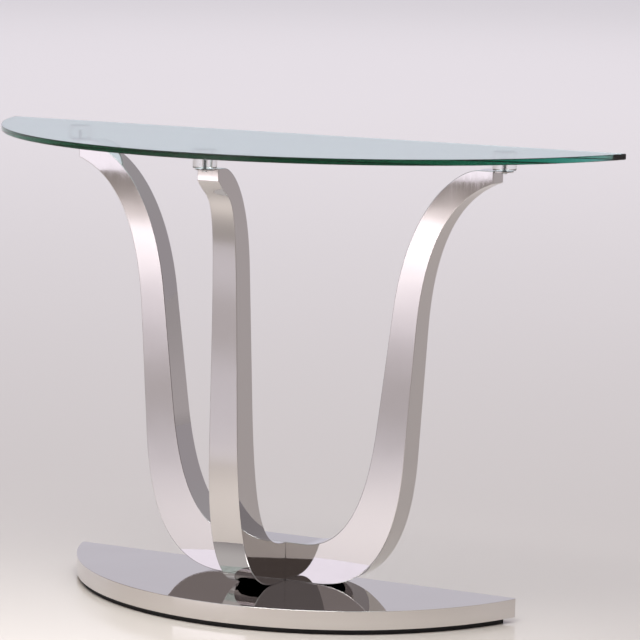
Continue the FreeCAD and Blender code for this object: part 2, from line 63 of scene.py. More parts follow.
# %% Colour and node helpers
def colour(hex_value):
    channels = [int(hex_value[i:i + 2], 16) / 255 for i in (1, 3, 5)]
    linear = [c / 12.92 if c <= 0.04045 else ((c + 0.055) / 1.055) ** 2.4 for c in channels]
    return (*linear, 1.0)


def add(tree, kind, inputs, **options):
    node = tree.nodes.new(kind)
    for name, value in options.items():
        setattr(node, name, value)
    for socket, value in inputs.items():
        if isinstance(value, bpy.types.NodeSocket):
            tree.links.new(value, node.inputs[socket])
        else:
            node.inputs[socket].default_value = value
    return node


def new_material(name):
    material = bpy.data.materials.new(name)
    material.use_nodes = True
    material.node_tree.nodes.clear()
    place = add(material.node_tree, "ShaderNodeTexCoord", {}).outputs["Object"]
    return material, material.node_tree, place


def per_mm(size_mm):
    """The texture scale at which one patch of a noise is about this many millimetres."""
    return 1 / (size_mm * MM)


# %% [markdown]
# ## Mirror-polished stainless steel
# The legs and the base are stainless steel sheet, welded, ground and buffed to a mirror.
# Buffed sheet isn't a perfect mirror: it keeps a long, shallow waviness from rolling and
# welding, which bends reflections a little, and the buffing wheel leaves hair-thin lines and
# faint hazy patches. The waviness is a large soft noise that drives a small bump. The lines
# are a noise stretched along the way the wheel ran, and with the haze they move the roughness.

# %% Material: mirror-polished stainless steel
WAVE_MM = 130
WAVE_HEIGHT_MM = 0.35
BUFF_LINE_MM = 1.2
BUFF_STRETCH = 0.02
HAZE_MM = 45
USUAL_NOISE = (0.15, 0.45)
STEEL_ROUGHNESS = (0.015, 0.06)


def mirror_polished_stainless(name, shade, buffed_along):
    material, tree, place = new_material(name)
    wave = add(tree, "ShaderNodeTexNoise", {"Vector": place, "Scale": per_mm(WAVE_MM), "Detail": 1.0})
    stretched = add(tree, "ShaderNodeMapping", {"Vector": place, "Scale": buffed_along})
    lines = add(tree, "ShaderNodeTexNoise", {"Vector": stretched.outputs[0],
                                             "Scale": per_mm(BUFF_LINE_MM), "Detail": 2.0})
    haze = add(tree, "ShaderNodeTexNoise", {"Vector": place, "Scale": per_mm(HAZE_MM), "Detail": 4.0})
    both = add(tree, "ShaderNodeMath", {0: lines.outputs[0], 1: haze.outputs[0]},
               operation="MULTIPLY")
    gloss = add(tree, "ShaderNodeMapRange", {
        "Value": both.outputs[0], "From Min": USUAL_NOISE[0], "From Max": USUAL_NOISE[1],
        "To Min": STEEL_ROUGHNESS[0], "To Max": STEEL_ROUGHNESS[1]})
    bump = add(tree, "ShaderNodeBump", {"Height": wave.outputs[0], "Strength": 1.0,
                                        "Distance": WAVE_HEIGHT_MM * MM})
    steel = add(tree, "ShaderNodeBsdfPrincipled", {
        "Base Color": colour(shade), "Metallic": 1.0, "Roughness": gloss.outputs[0],
        "Normal": bump.outputs[0]})
    add(tree, "ShaderNodeOutputMaterial", {"Surface": steel.outputs[0]})
    return material


leg_steel = mirror_polished_stainless("mirror_polished_stainless_legs", "#CDCACA",
                                      (1, 1, BUFF_STRETCH))
# The base's copy is a lighter shade than the legs': that is painted light, so the base's top and rim read
# brighter.
base_steel_painted_lighter = mirror_polished_stainless("mirror_polished_stainless_base_painted_lighter", "#DAD6D4",
                                       (BUFF_STRETCH, 1, 1))
print("steel:", leg_steel.name, base_steel_painted_lighter.name)

# %% [markdown]
# ## Tempered float glass
# Clear float glass holds a little iron, which takes red out of the light. Looking down
# through 10 mm it is almost colourless, but light that runs along the sheet to its edge
# crosses half a metre of it and comes out deep green. A volume that absorbs light gives both
# from one setting: its density says how fast light dies away, and its tint which colours last.
# The density here is about twice what the iron gives, so the edges come out darker and deeper
# green than the glass makes them. That extra darkening is painted shade, standing in for a wall
# that would shade the back edge.

# %% Material: float glass
# About twice the density of real float glass: the extra darkening and green of the edges is painted
# shade.
GLASS_DENSITY_WITH_PAINTED_SHADE = 21.0


def float_glass():
    material, tree, _ = new_material("tempered_float_glass")
    glass = add(tree, "ShaderNodeBsdfPrincipled", {
        "Base Color": colour("#FFFFFF"), "Roughness": 0.0, "IOR": 1.52,
        "Transmission Weight": 1.0})
    tint = add(tree, "ShaderNodeVolumeAbsorption", {"Color": colour("#3FDACB"),
                                                    "Density": GLASS_DENSITY_WITH_PAINTED_SHADE})
    add(tree, "ShaderNodeOutputMaterial", {"Surface": glass.outputs[0], "Volume": tint.outputs[0]})
    return material


glass = float_glass()
print("glass:", glass.name)

# %% [markdown]
# ## Clear acrylic and clear vinyl
# The discs are turned from acrylic rod and polished, which leaves faint rings round the side.
# The pads on top of them are soft vinyl, a little cloudy where it was moulded.

# %% Materials: acrylic and vinyl
TURNING_MM = 0.8
TURNING_FLATNESS = 0.02
CLOUD_MM = 4
VINYL_ROUGHNESS = (0.12, 0.3)


def clear_acrylic():
    material, tree, place = new_material("turned_clear_acrylic")
    along_rings = (TURNING_FLATNESS, TURNING_FLATNESS, 1)
    flat = add(tree, "ShaderNodeMapping", {"Vector": place, "Scale": along_rings})
    rings = add(tree, "ShaderNodeTexNoise", {"Vector": flat.outputs[0],
                                             "Scale": per_mm(TURNING_MM)})
    bump = add(tree, "ShaderNodeBump", {"Height": rings.outputs[0], "Strength": 0.3,
                                        "Distance": 0.01 * MM})
    plastic = add(tree, "ShaderNodeBsdfPrincipled", {
        "Base Color": colour("#FCFDFD"), "Roughness": 0.02, "IOR": 1.49,
        "Transmission Weight": 1.0, "Normal": bump.outputs[0]})
    add(tree, "ShaderNodeOutputMaterial", {"Surface": plastic.outputs[0]})
    return material


def clear_vinyl():
    material, tree, place = new_material("moulded_clear_vinyl")
    cloud = add(tree, "ShaderNodeTexNoise", {"Vector": place, "Scale": per_mm(CLOUD_MM)})
    haze = add(tree, "ShaderNodeMapRange", {
        "Value": cloud.outputs[0], "To Min": VINYL_ROUGHNESS[0], "To Max": VINYL_ROUGHNESS[1]})
    vinyl = add(tree, "ShaderNodeBsdfPrincipled", {
        "Base Color": colour("#F4F6F6"), "Roughness": haze.outputs[0], "IOR": 1.53,
        "Transmission Weight": 0.95})
    add(tree, "ShaderNodeOutputMaterial", {"Surface": vinyl.outputs[0]})
    return material


acrylic = clear_acrylic()
vinyl = clear_vinyl()
print("clear plastics:", acrylic.name, vinyl.name)

# %% [markdown]
# ## Finishes with a grain
# The gaskets are black rubber, the plinth is board faced with black melamine, the core is
# bare fibreboard, and the screws and inner plates are zinc-plated or mill-finish steel.
# They have one thing in common: a fine grain that shifts the tone, the gloss and the surface
# a little. One function makes such a finish, and the arguments say how each one differs.

# %% Materials: rubber, board and fasteners
TONE_STOPS = (0.35, 0.65)


def grained(name, tones, grain_mm, depth_mm, gloss, metallic=0.0):
    material, tree, place = new_material(name)
    grain = add(tree, "ShaderNodeTexNoise", {"Vector": place, "Scale": per_mm(grain_mm),
                                             "Detail": 4.0})
    tone = add(tree, "ShaderNodeValToRGB", {"Fac": grain.outputs[0]})
    for stop, shade, position in zip(tone.color_ramp.elements, tones, TONE_STOPS):
        stop.color = colour(shade)
        stop.position = position
    rough = add(tree, "ShaderNodeMapRange", {"Value": grain.outputs[0], "To Min": gloss[0],
                                             "To Max": gloss[1]})
    bump = add(tree, "ShaderNodeBump", {"Height": grain.outputs[0], "Strength": 0.6,
                                        "Distance": depth_mm * MM})
    surface = add(tree, "ShaderNodeBsdfPrincipled", {
        "Base Color": tone.outputs[0], "Metallic": metallic, "Roughness": rough.outputs[0],
        "Normal": bump.outputs[0]})
    add(tree, "ShaderNodeOutputMaterial", {"Surface": surface.outputs[0]})
    return material


rubber = grained("moulded_black_rubber", ("#0B0B0C", "#18181A"), 0.6, 0.03, (0.6, 0.8))
black_board = grained("black_melamine_board", ("#050506", "#0C0C0D"), 0.9, 0.02, (0.6, 0.75))
fibreboard = grained("bare_fibreboard", ("#7A5C3E", "#A07E5A"), 1.5, 0.05, (0.75, 0.9))
zinc = grained("zinc_plated_steel", ("#A9ADB2", "#C9CCCE"), 2.5, 0.01, (0.22, 0.35), metallic=1.0)
mill_steel = grained("mill_finish_steel", ("#6E6C6A", "#8C8986"), 6, 0.02, (0.4, 0.6), metallic=1.0)
print("grained finishes:", rubber.name, black_board.name, fibreboard.name, zinc.name, mill_steel.name)

# %% [markdown]
# ## From a bmesh to a finished piece
# Each piece is shaped in millimetres near the origin and then moved to its place and scaled
# to metres, inside the mesh. Smooth shading needs care on mirror and glass: one wrong normal
# bends a reflection. Edges sharper than the limit are marked sharp, and a Weighted Normal
# modifier lets each large flat face keep its own normal, so that only the bevels turn.

# %% Helper: finish a piece
SHARP_DEGREES = 35


def finish_piece(bm, name, material, replaced, place=Matrix.Identity(4)):
    bmesh.ops.recalc_face_normals(bm, faces=bm.faces)
    bmesh.ops.transform(bm, matrix=place @ Matrix.Scale(MM, 4), verts=bm.verts)
    for face in bm.faces:
        face.smooth = True
    for edge in bm.edges:
        if len(edge.link_faces) == 2:
            edge.smooth = edge.calc_face_angle() < math.radians(SHARP_DEGREES)
    mesh = bpy.data.meshes.new(name)
    bm.to_mesh(mesh)
    bm.free()
    mesh.materials.append(material)
    piece = bpy.data.objects.new(name, mesh)
    bpy.context.scene.collection.objects.link(piece)
    even = piece.modifiers.new("even_normals", "WEIGHTED_NORMAL")
    even.keep_sharp = True
    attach(piece, "root")
    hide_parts(*replaced)
    print(name, "faces:", len(mesh.polygons), "stands for:", ", ".join(replaced))
    return piece


# %% [markdown]
# ## The half-moon outline
# The glass and the base share one outline: a straight back, a wide front arc and two small
# rounded corners that run smoothly from one into the other. Three spins draw it. The first
# vertex is the end of the back edge; each spin sweeps the last vertex about the next centre.
# The front radius isn't chosen: it is the one whose rounded ends reach the stated length.
# Three more helpers go with it, because most pieces need them too: one gives flat faces a
# thickness, one finds the edges at a height, and one bevels edges.

# %% Helpers: half-moon outline, extrusion and bevel
FRONT_STEPS = 160
CORNER_STEPS = 16
ROUND_SEGMENTS = 3
SAME_MM = 1e-4


def verts_in(items):
    return [item for item in items if isinstance(item, bmesh.types.BMVert)]


def half_moon(bm, length, depth, corner, back, height):
    """A flat half-moon face at this height, from its length, depth and corner radius."""
    reach = length / 2 - corner
    radius = (reach ** 2 + depth ** 2 - 2 * depth * corner) / (2 * (depth - 2 * corner))
    middle = Vector((0, back - depth + radius, height))
    lean = math.atan2(middle.y - (back - corner), reach)
    turns = [((-reach, back - corner, height), math.pi / 2 + lean, CORNER_STEPS),
             (middle, math.pi - 2 * lean, FRONT_STEPS),
             ((reach, back - corner, height), math.pi / 2 + lean, CORNER_STEPS)]
    last = bm.verts.new((-reach, back, height))
    for centre, angle, steps in turns:
        swept = bmesh.ops.spin(bm, geom=[last], cent=centre, axis=(0, 0, 1), angle=angle,
                               steps=steps)
        last = verts_in(swept["geom_last"])[0]
    bm.verts.ensure_lookup_table()
    bm.edges.new((last, bm.verts[0]))
    bmesh.ops.contextual_create(bm, geom=bm.edges[:])
    return radius


def extrude(bm, faces, way):
    """Give flat faces a thickness along this vector."""
    made = bmesh.ops.extrude_face_region(bm, geom=faces)
    bmesh.ops.translate(bm, verts=verts_in(made["geom"]), vec=way)


def level_edges(bm, height):
    """The edges that lie wholly at one height."""
    return [edge for edge in bm.edges
            if all(abs(vert.co.z - height) < SAME_MM for vert in edge.verts)]


def bevel(bm, edges, size, segments):
    """Ease edges: one segment cuts them flat, and more make them round."""
    bmesh.ops.bevel(bm, geom=edges, affect="EDGES", offset=size, segments=segments, profile=0.5,
                    material=-1)


# %% [markdown]
# ## The glass top
# A sheet of 10 mm glass, cut to the half-moon. After cutting, the edge is ground flat and
# polished, and a narrow chamfer, the arris, takes off both sharp corners. It could be one
# bevelled box with a boolean, but the outline and one extrusion give cleaner walls, and
# walls matter in glass because every facet bends the light. One bevel segment keeps the
# arris flat, as a grinding wheel leaves it.

# %% Piece: glass top
GLASS_CORNER_MM = 3
ARRIS_MM = 1


def size_mm(node):
    """A CAD node's lowest corner and its extent, in millimetres."""
    low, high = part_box(node)
    return low / MM, (high - low) / MM


def glass_top():
    low, extent = size_mm("glass_top")
    bm = bmesh.new()
    radius = half_moon(bm, extent.x, extent.y, GLASS_CORNER_MM, low.y + extent.y, low.z)
    extrude(bm, bm.faces[:], (0, 0, extent.z))
    bevel(bm, level_edges(bm, low.z) + level_edges(bm, low.z + extent.z), ARRIS_MM, segments=1)
    print("glass front radius (mm):", round(radius, 1))
    return finish_piece(bm, "glass_top_sheet", glass, ["glass_top"])


glass_top()

# %% [markdown]
# ## The base
# A thin mirror-polished cover hides the fibreboard core: a flat top and a band bent round
# the edge, welded and buffed so that the joint can't be seen. So one skin stands for both:
# the outline is extruded down, its underside is taken away, its top rim gets a small round
# bevel, and Solidify gives the sheet its thickness inwards.

# %% Piece: base cover
BASE_CORNER_MM = 5
BASE_SHEET_MM = 1.2
BASE_EDGE_MM = 0.8


def base_cover():
    low, extent = size_mm("base_rim_band")
    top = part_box("base_top_sheet")[1].z / MM
    bm = bmesh.new()
    half_moon(bm, extent.x, extent.y, BASE_CORNER_MM, low.y + extent.y, top)
    extrude(bm, bm.faces[:], (0, 0, low.z - top))
    underside = [face for face in bm.faces if abs(face.calc_center_median().z - low.z) < SAME_MM]
    bmesh.ops.delete(bm, geom=underside, context="FACES_ONLY")
    bevel(bm, level_edges(bm, top), BASE_EDGE_MM, ROUND_SEGMENTS)
    piece = finish_piece(bm, "base_cover", base_steel_painted_lighter,
                         ["base_top_sheet", "base_rim_band"])
    sheet = piece.modifiers.new("sheet", "SOLIDIFY")
    sheet.thickness = BASE_SHEET_MM * MM
    sheet.offset = -1
    piece.modifiers.move(1, 0)
    return piece


base_cover()

# %% [markdown]
# ## The legs
# Each leg is a box of welded steel plates: two flat cheeks cut to the curved outline, and two
# strips bent along it. Seen from the side, each flank of the leg is a level run on the base,
# a bend up, a straight leaning stem and a flare out to the tip. Two Bezier curves and two
# straight runs give that outline. One face is made from it and extruded across the width,
# and the width is then narrowed from foot to tip, which keeps both cheeks flat.
# The welds are ground away on the real legs, so one closed skin stands for the welded plates.

# %% Shape of the legs
LEG_FOOT_WIDTH_MM = 63
LEG_TIP_WIDTH_MM = 40
LEG_FOOT_THICK_MM = 67
LEG_TIP_THICK_MM = 22
LEG_EDGE_MM = 1.2
MITRE_EDGE_MM = 1.6
CURVE_POINTS = 48
FLANKS = {
    "side_outer": {"flat": 90, "foot_pull": 120, "stem_out": 254, "stem_up": 232, "stem_pull": 125,
                   "lean": 0.07, "flare_drop": 282, "flare_pull": 128, "tip_pull": 95, "tip_rise": 0.36},
    "side_inner": {"flat": 65, "foot_pull": 96, "stem_out": 200, "stem_up": 283, "stem_pull": 96,
                   "lean": 0.12, "flare_drop": 250, "flare_pull": 200, "tip_pull": 30, "tip_rise": 0},
    "front_outer": {"flat": 71, "foot_pull": 125, "stem_out": 203, "stem_up": 264, "stem_pull": 96,
                    "lean": 0.01, "flare_drop": 284, "flare_pull": 260, "tip_pull": 64, "tip_rise": 1.08},
    "front_inner": {"flat": 32, "foot_pull": 80, "stem_out": 150, "stem_up": 322, "stem_pull": 197,
                    "lean": 0.04, "flare_drop": 175, "flare_pull": 140, "tip_pull": 26, "tip_rise": 0},
}
LEVEL_TOP_MM = {"side": 28, "front": 18}

leg_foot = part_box("base_top_sheet")[1].z / MM
leg_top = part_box("gasket_right")[0].z / MM
leg_line = (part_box("clear_disc_right")[0].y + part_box("clear_disc_right")[1].y) / 2 / MM
REACH_MM = {"side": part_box("right_leg_end_cap")[1].x / MM,
            "front": leg_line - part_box("front_leg_end_cap")[0].y / MM}
print("legs stand on", round(leg_foot, 1), "end at", round(leg_top, 1), "reach", REACH_MM)


def flank_points(flank, reach, foot_height, tip_height):
    """One flank from the junction to the tip, in the leg's own upright plane."""
    stem_way = Vector((flank["lean"], 0, 1)).normalized()
    tip_way = Vector((1, 0, flank["tip_rise"])).normalized()
    bend = Vector((flank["flat"], 0, foot_height))
    stem_low = Vector((flank["stem_out"], 0, leg_foot + flank["stem_up"]))
    stem_run = leg_top - flank["flare_drop"] - stem_low.z
    stem_high = stem_low + stem_way * (stem_run / stem_way.z)
    tip = Vector((reach, 0, tip_height))
    foot_curve = interpolate_bezier(bend, bend + Vector((flank["foot_pull"], 0, 0)),
                                    stem_low - stem_way * flank["stem_pull"], stem_low, CURVE_POINTS)
    flare_curve = interpolate_bezier(stem_high, stem_high + stem_way * flank["flare_pull"],
                                     tip - tip_way * flank["tip_pull"], tip, CURVE_POINTS)
    return [Vector((0, 0, foot_height))] + foot_curve + flare_curve


def leg_width(height):
    """The leg's width at a height: it narrows evenly from foot to tip."""
    share = (height - leg_foot) / (leg_top - leg_foot)
    return LEG_FOOT_WIDTH_MM + (LEG_TIP_WIDTH_MM - LEG_FOOT_WIDTH_MM) * share


# %% [markdown]
# The edges where the plates meet are eased by the buffing wheel to a radius of about a
# millimetre. They catch the thin bright lines that outline the legs, so the bevel matters
# more than its size suggests. The edges at the foot stay sharp, because there the side legs
# are welded to each other. The front leg is cut where it meets the faces of the side legs,
# and the rim of that cut is eased too, which leaves the fine line seen at the junction.

# %% Pieces: three legs
def is_plate_edge(edge):
    """True for an edge between two plates, away from the welded foot end."""
    at_junction = all(abs(vert.co.x) < SAME_MM for vert in edge.verts)
    return not at_junction and edge.calc_face_angle() > math.radians(SHARP_DEGREES)


def leg_body(kind):
    """A leg in its own frame: its outline extruded one unit wide, then widened at each height."""
    reach = REACH_MM[kind]
    outer = flank_points(FLANKS[kind + "_outer"], reach, leg_foot, leg_top - LEG_TIP_THICK_MM)
    inner = flank_points(FLANKS[kind + "_inner"], reach - LEVEL_TOP_MM[kind],
                         leg_foot + LEG_FOOT_THICK_MM, leg_top)
    outline = outer + [Vector((reach, 0, leg_top))] + inner[::-1]
    bm = bmesh.new()
    cheek = bm.faces.new([bm.verts.new(point - Vector((0, 0.5, 0))) for point in outline])
    extrude(bm, [cheek], (0, 1, 0))
    for vert in bm.verts:
        vert.co.y *= leg_width(vert.co.z)
    bmesh.ops.recalc_face_normals(bm, faces=bm.faces)
    bevel(bm, [edge for edge in bm.edges if is_plate_edge(edge)], LEG_EDGE_MM, ROUND_SEGMENTS)
    return bm


def mitre(bm):
    """Cut the front leg along the sloping face of the side legs, and close the cut."""
    slope = (LEG_FOOT_WIDTH_MM - LEG_TIP_WIDTH_MM) / 2 / (leg_top - leg_foot)
    cut = bmesh.ops.bisect_plane(bm, geom=bm.verts[:] + bm.edges[:] + bm.faces[:], dist=SAME_MM,
                                 plane_co=(LEG_FOOT_WIDTH_MM / 2, 0, leg_foot),
                                 plane_no=(1, 0, slope), clear_inner=True)
    rim = [item for item in cut["geom_cut"] if isinstance(item, bmesh.types.BMEdge)]
    bmesh.ops.contextual_create(bm, geom=rim)
    bevel(bm, rim, MITRE_EDGE_MM, ROUND_SEGMENTS)


LEG_TURNS = {"right": 0, "left": 180, "front": -90}
LEG_PLATES = {"right": ("cheek_front", "cheek_back"), "left": ("cheek_front", "cheek_back"),
              "front": ("cheek_left", "cheek_right")}
for side, turn in LEG_TURNS.items():
    body = leg_body("front" if side == "front" else "side")
    if side == "front":
        mitre(body)
    spot = Matrix.Translation((0, leg_line * MM, 0)) @ Matrix.Rotation(math.radians(turn), 4, "Z")
    plates = LEG_PLATES[side] + ("outer_strip", "end_cap")
    finish_piece(body, side + "_leg_body", leg_steel,
                 [side + "_leg_" + plate for plate in plates], spot)

# %% [markdown]
# ## The lugs
# The top strip of each leg runs on past the end cap as a round-nosed lug, and the disc's
# screw comes up through a hole in it. It is a small plate: a rectangle, half a turn of a
# spin for the nose, and a hole. A hole in a flat face is easiest as a ring: the outline and
# the hole's circle are joined by a bridge. Its free edges are eased, but not the end that runs
# on from the leg.

# %% Pieces: three lugs
LUG_WIDTH_MM = 32
LUG_THICK_MM = 2
LUG_EDGE_MM = 0.4
LUG_HOLE_MM = 6.6
DISC_OVERHANG_MM = 11
CORNER_DEGREES = 60
ARC_STEPS = 32


def lug():
    """A lug in the leg's own frame with the disc's screw at the origin."""
    bm = bmesh.new()
    half = LUG_WIDTH_MM / 2
    root = bm.verts.new((-DISC_OVERHANG_MM, -half, 0))
    start = bm.verts.new((0, -half, 0))
    bm.edges.new((root, start))
    swept = bmesh.ops.spin(bm, geom=[start], cent=(0, 0, 0), axis=(0, 0, 1), angle=math.pi,
                           steps=ARC_STEPS)
    end = verts_in(swept["geom_last"])[0]
    far = bm.verts.new((-DISC_OVERHANG_MM, half, 0))
    bm.edges.new((end, far))
    bm.edges.new((far, root))
    rim = bm.edges[:]
    hole = bmesh.ops.create_circle(bm, radius=LUG_HOLE_MM / 2, segments=ARC_STEPS)
    ring = list({edge for vert in hole["verts"] for edge in vert.link_edges})
    bmesh.ops.bridge_loops(bm, edges=rim + ring)
    extrude(bm, bm.faces[:], (0, 0, -LUG_THICK_MM))
    bmesh.ops.recalc_face_normals(bm, faces=bm.faces)
    sharp = [edge for edge in bm.edges if edge.calc_face_angle() > math.radians(CORNER_DEGREES)]
    free = [edge for edge in sharp if max(vert.co.x for vert in edge.verts) > 1 - DISC_OVERHANG_MM]
    bevel(bm, free, LUG_EDGE_MM, segments=2)
    return bm


def over_screw(side, height):
    """The place of a part that stands on a leg's screw line, turned to face along the leg."""
    low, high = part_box("clear_disc_" + side)
    middle = (low + high) / 2
    turn = Matrix.Rotation(math.radians(LEG_TURNS[side]), 4, "Z")
    return Matrix.Translation((middle.x, middle.y, height * MM)) @ turn


for side in LEG_TURNS:
    finish_piece(lug(), side + "_leg_lug", leg_steel, [side + "_leg_inner_strip"],
                 over_screw(side, leg_top))

# %% [markdown]
# ## Turned parts between the legs and the glass
# On each lug lie a rubber gasket, a thick clear disc and a thin clear pad, on one screw.
# All are round, so each is a profile spun once round its axis: a short list of radius and
# height. A hair of air is left above and below each one, because two clear faces in exactly
# the same place confuse a ray tracer.

# %% Pieces: gaskets, discs, pads
AIR_MM = 0.05
DISC_BORE_MM = 6.3
DISC_BORE_DEPTH_MM = 17
DISC_ARRIS_MM = 0.8
GASKET_EDGE_MM = 0.2
PAD_EDGE_MM = 0.3
TURN_STEPS = 96


def turned(profile, closed):
    """Spin a profile of (radius, height) pairs once round the upright axis."""
    bm = bmesh.new()
    points = [bm.verts.new((radius, 0, height)) for radius, height in profile]
    pairs = list(zip(points, points[1:] + points[:1] if closed else points[1:]))
    chain = [bm.edges.new(pair) for pair in pairs]
    bmesh.ops.spin(bm, geom=points + chain, cent=(0, 0, 0), axis=(0, 0, 1), angle=2 * math.pi,
                   steps=TURN_STEPS, use_merge=True)
    bmesh.ops.remove_doubles(bm, verts=bm.verts, dist=SAME_MM)
    return bm


def ring_profile(inner, outer, low, high, ease):
    """The cross-section of a ring with its outer edges eased."""
    return [(inner, low), (outer - ease, low), (outer, low + ease), (outer, high - ease),
            (outer - ease, high), (inner, high)]


def gasket(side):
    low, extent = size_mm("gasket_" + side)
    ring = ring_profile(DISC_BORE_MM / 2, extent.x / 2, AIR_MM, extent.z - AIR_MM, GASKET_EDGE_MM)
    finish_piece(turned(ring, True), side + "_gasket_ring", rubber,
                 ["gasket_" + side], over_screw(side, low.z))


def clear_disc(side):
    """A disc with a blind bore from below for its screw."""
    low, extent = size_mm("clear_disc_" + side)
    top = extent.z - AIR_MM
    bore = [(0, DISC_BORE_DEPTH_MM), (DISC_BORE_MM / 2, DISC_BORE_DEPTH_MM)]
    outside = ring_profile(DISC_BORE_MM / 2, extent.x / 2, AIR_MM, top, DISC_ARRIS_MM)[:-1]
    finish_piece(turned(bore + outside + [(0, top)], False), side + "_clear_standoff", acrylic,
                 ["clear_disc_" + side], over_screw(side, low.z))


def clear_pad(side):
    low, extent = size_mm("clear_pad_" + side)
    solid = ring_profile(0, extent.x / 2, AIR_MM, extent.z - AIR_MM, PAD_EDGE_MM)
    finish_piece(turned(solid, False), side + "_vinyl_pad", vinyl,
                 ["clear_pad_" + side], over_screw(side, low.z))


for side in LEG_TURNS:
    gasket(side)
    clear_disc(side)
    clear_pad(side)

# %% [markdown]
# ## The disc screws
# A low round head with a round recess sits under each lug, and its threaded shank shows
# through the clear disc as a dark line. The head and the core are one spun profile. The
# thread is a small three-sided face swept by a spin that also climbs one pitch each turn.

# %% Pieces: disc screws
SCREW_MM = 6
SCREW_REACH_MM = 14
SCREW_POINT_MM = 0.5
GASKET_MM = 1
HEAD_MM = 11
HEAD_THICK_MM = 3.2
HEAD_DOME_MM = ((1.6, 0), (0.5, 0.8), (0, 2))
SOCKET_MM = 4
SOCKET_DEPTH_MM = 2
PITCH_MM = 1
THREAD_DEPTH_MM = 0.6
THREAD_HALF_MM = 0.4
THREAD_SINK_MM = 0.1
THREAD_STEPS = 24


def screw():
    """A screw with the underside of its head, where it meets the lug, at height zero."""
    core = SCREW_MM / 2 - THREAD_DEPTH_MM
    tip = LUG_THICK_MM + GASKET_MM + SCREW_REACH_MM
    head = HEAD_MM / 2
    dome = [(head - inward, upward - HEAD_THICK_MM) for inward, upward in HEAD_DOME_MM]
    shank = [(core, -AIR_MM), (core, tip - SCREW_POINT_MM), (core - SCREW_POINT_MM, tip), (0, tip)]
    bm = turned([(SOCKET_MM / 2, -HEAD_THICK_MM)] + dome + [(head, -AIR_MM)] + shank, False)
    mouth = [edge for edge in bm.edges if edge.is_boundary]
    made = bmesh.ops.extrude_edge_only(bm, edges=mouth)
    bmesh.ops.translate(bm, verts=verts_in(made["geom"]), vec=(0, 0, SOCKET_DEPTH_MM))
    bmesh.ops.holes_fill(bm, edges=[edge for edge in bm.edges if edge.is_boundary])
    turns = int((tip - LUG_THICK_MM) / PITCH_MM) - 1
    valley, crest = core - THREAD_SINK_MM, SCREW_MM / 2 - AIR_MM
    corners = [(valley, 0, PITCH_MM - THREAD_HALF_MM), (crest, 0, PITCH_MM),
               (valley, 0, PITCH_MM + THREAD_HALF_MM)]
    start = Vector((0, 0, LUG_THICK_MM))
    tooth = bm.faces.new([bm.verts.new(start + Vector(corner)) for corner in corners])
    bmesh.ops.spin(bm, geom=[tooth, *tooth.edges, *tooth.verts], cent=(0, 0, 0), axis=(0, 0, 1),
                   dvec=(0, 0, PITCH_MM / THREAD_STEPS), angle=2 * math.pi * turns,
                   steps=THREAD_STEPS * turns)
    return bm


screws = bmesh.new()
for side in LEG_TURNS:
    part = screw()
    bmesh.ops.transform(part, matrix=Matrix.Scale(MM, 4), verts=part.verts)
    bmesh.ops.transform(part, matrix=over_screw(side, leg_top - LUG_THICK_MM), verts=part.verts)
    holder = bpy.data.meshes.new("one_screw")
    part.to_mesh(holder)
    part.free()
    screws.from_mesh(holder)
    bpy.data.meshes.remove(holder)
finish_piece(screws, "disc_screw_set", zinc, ["disc_screws"], Matrix.Scale(1 / MM, 4))

# %% [markdown]
# ## CAD parts that keep their shape
# The plinth, the core, the inner plates and the bolts are the right shape already. They only
# need their real finish, so each one's material slot gets a new material.

# %% Finishes for the CAD nodes
KEPT = {"base_core": fibreboard, "base_plinth": black_board, "leg_bolts": zinc,
        "leg_bolt_washers": zinc, "plinth_screws": zinc}
for side in LEG_TURNS:
    KEPT[side + "_leg_closing_plate"] = mill_steel
    KEPT[side + "_leg_foot_plate"] = mill_steel
for node, material in KEPT.items():
    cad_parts[node].material_slots[0].material = material
print("CAD nodes with a new finish:", len(KEPT))

# %% [markdown]
# ## Floor, light and camera
# A mirror shows what stands round it, so the studio matters as much as the steel. The floor
# is plain, pale and polished, and runs far back so that it fills the view.
# The world is a soft room without corners: pale behind the table, darker towards the camera
# and to the right, so that the two sides of each leg differ in tone, and white overhead.

# %% Stage: floor and world
FLOOR_M = 90
WORLD_STRENGTH = 0.95
BACK_TO_FRONT = (0.3, -0.3)
LEFT_TO_RIGHT = (-0.25, 0.35)
WALLS_TO_UPPER_AIR = (0.12, 0.45)
UPPER_AIR_TO_CEILING = (0.6, 0.85)


def pale_floor():
    material, tree, _ = new_material("pale_polished_floor")
    surface = add(tree, "ShaderNodeBsdfPrincipled", {
        "Base Color": colour("#E3DBD3"), "Roughness": 0.13, "IOR": 1.45})
    add(tree, "ShaderNodeOutputMaterial", {"Surface": surface.outputs[0]})
    return material


bm = bmesh.new()
bmesh.ops.create_grid(bm, x_segments=1, y_segments=1, size=FLOOR_M / 2)
floor_mesh = bpy.data.meshes.new("studio_floor")
bm.to_mesh(floor_mesh)
bm.free()
floor_mesh.materials.append(pale_floor())
floor = bpy.data.objects.new("studio_floor", floor_mesh)
bpy.context.scene.collection.objects.link(floor)

world = bpy.data.worlds.new("studio")
bpy.context.scene.world = world
world.use_nodes = True
sky = world.node_tree
sky.nodes.clear()
way = add(sky, "ShaderNodeTexCoord", {}).outputs["Generated"]
sides = add(sky, "ShaderNodeSeparateXYZ", {"Vector": way}).outputs


def share(axis, limits):
    """How far the view direction has turned along an axis, from one limit to the other."""
    first, last = limits
    return add(sky, "ShaderNodeMapRange", {"Value": sides[axis], "From Min": first, "From Max": last},
               interpolation_type="SMOOTHSTEP").outputs[0]


def blend(amount, first, second):
    """Mix two colours of light."""
    mix = add(sky, "ShaderNodeMix", {0: amount}, data_type="RGBA")
    for socket, light in ((6, first), (7, second)):
        if isinstance(light, str):
            mix.inputs[socket].default_value = colour(light)
        else:
            sky.links.new(light, mix.inputs[socket])
    return mix.outputs[2]


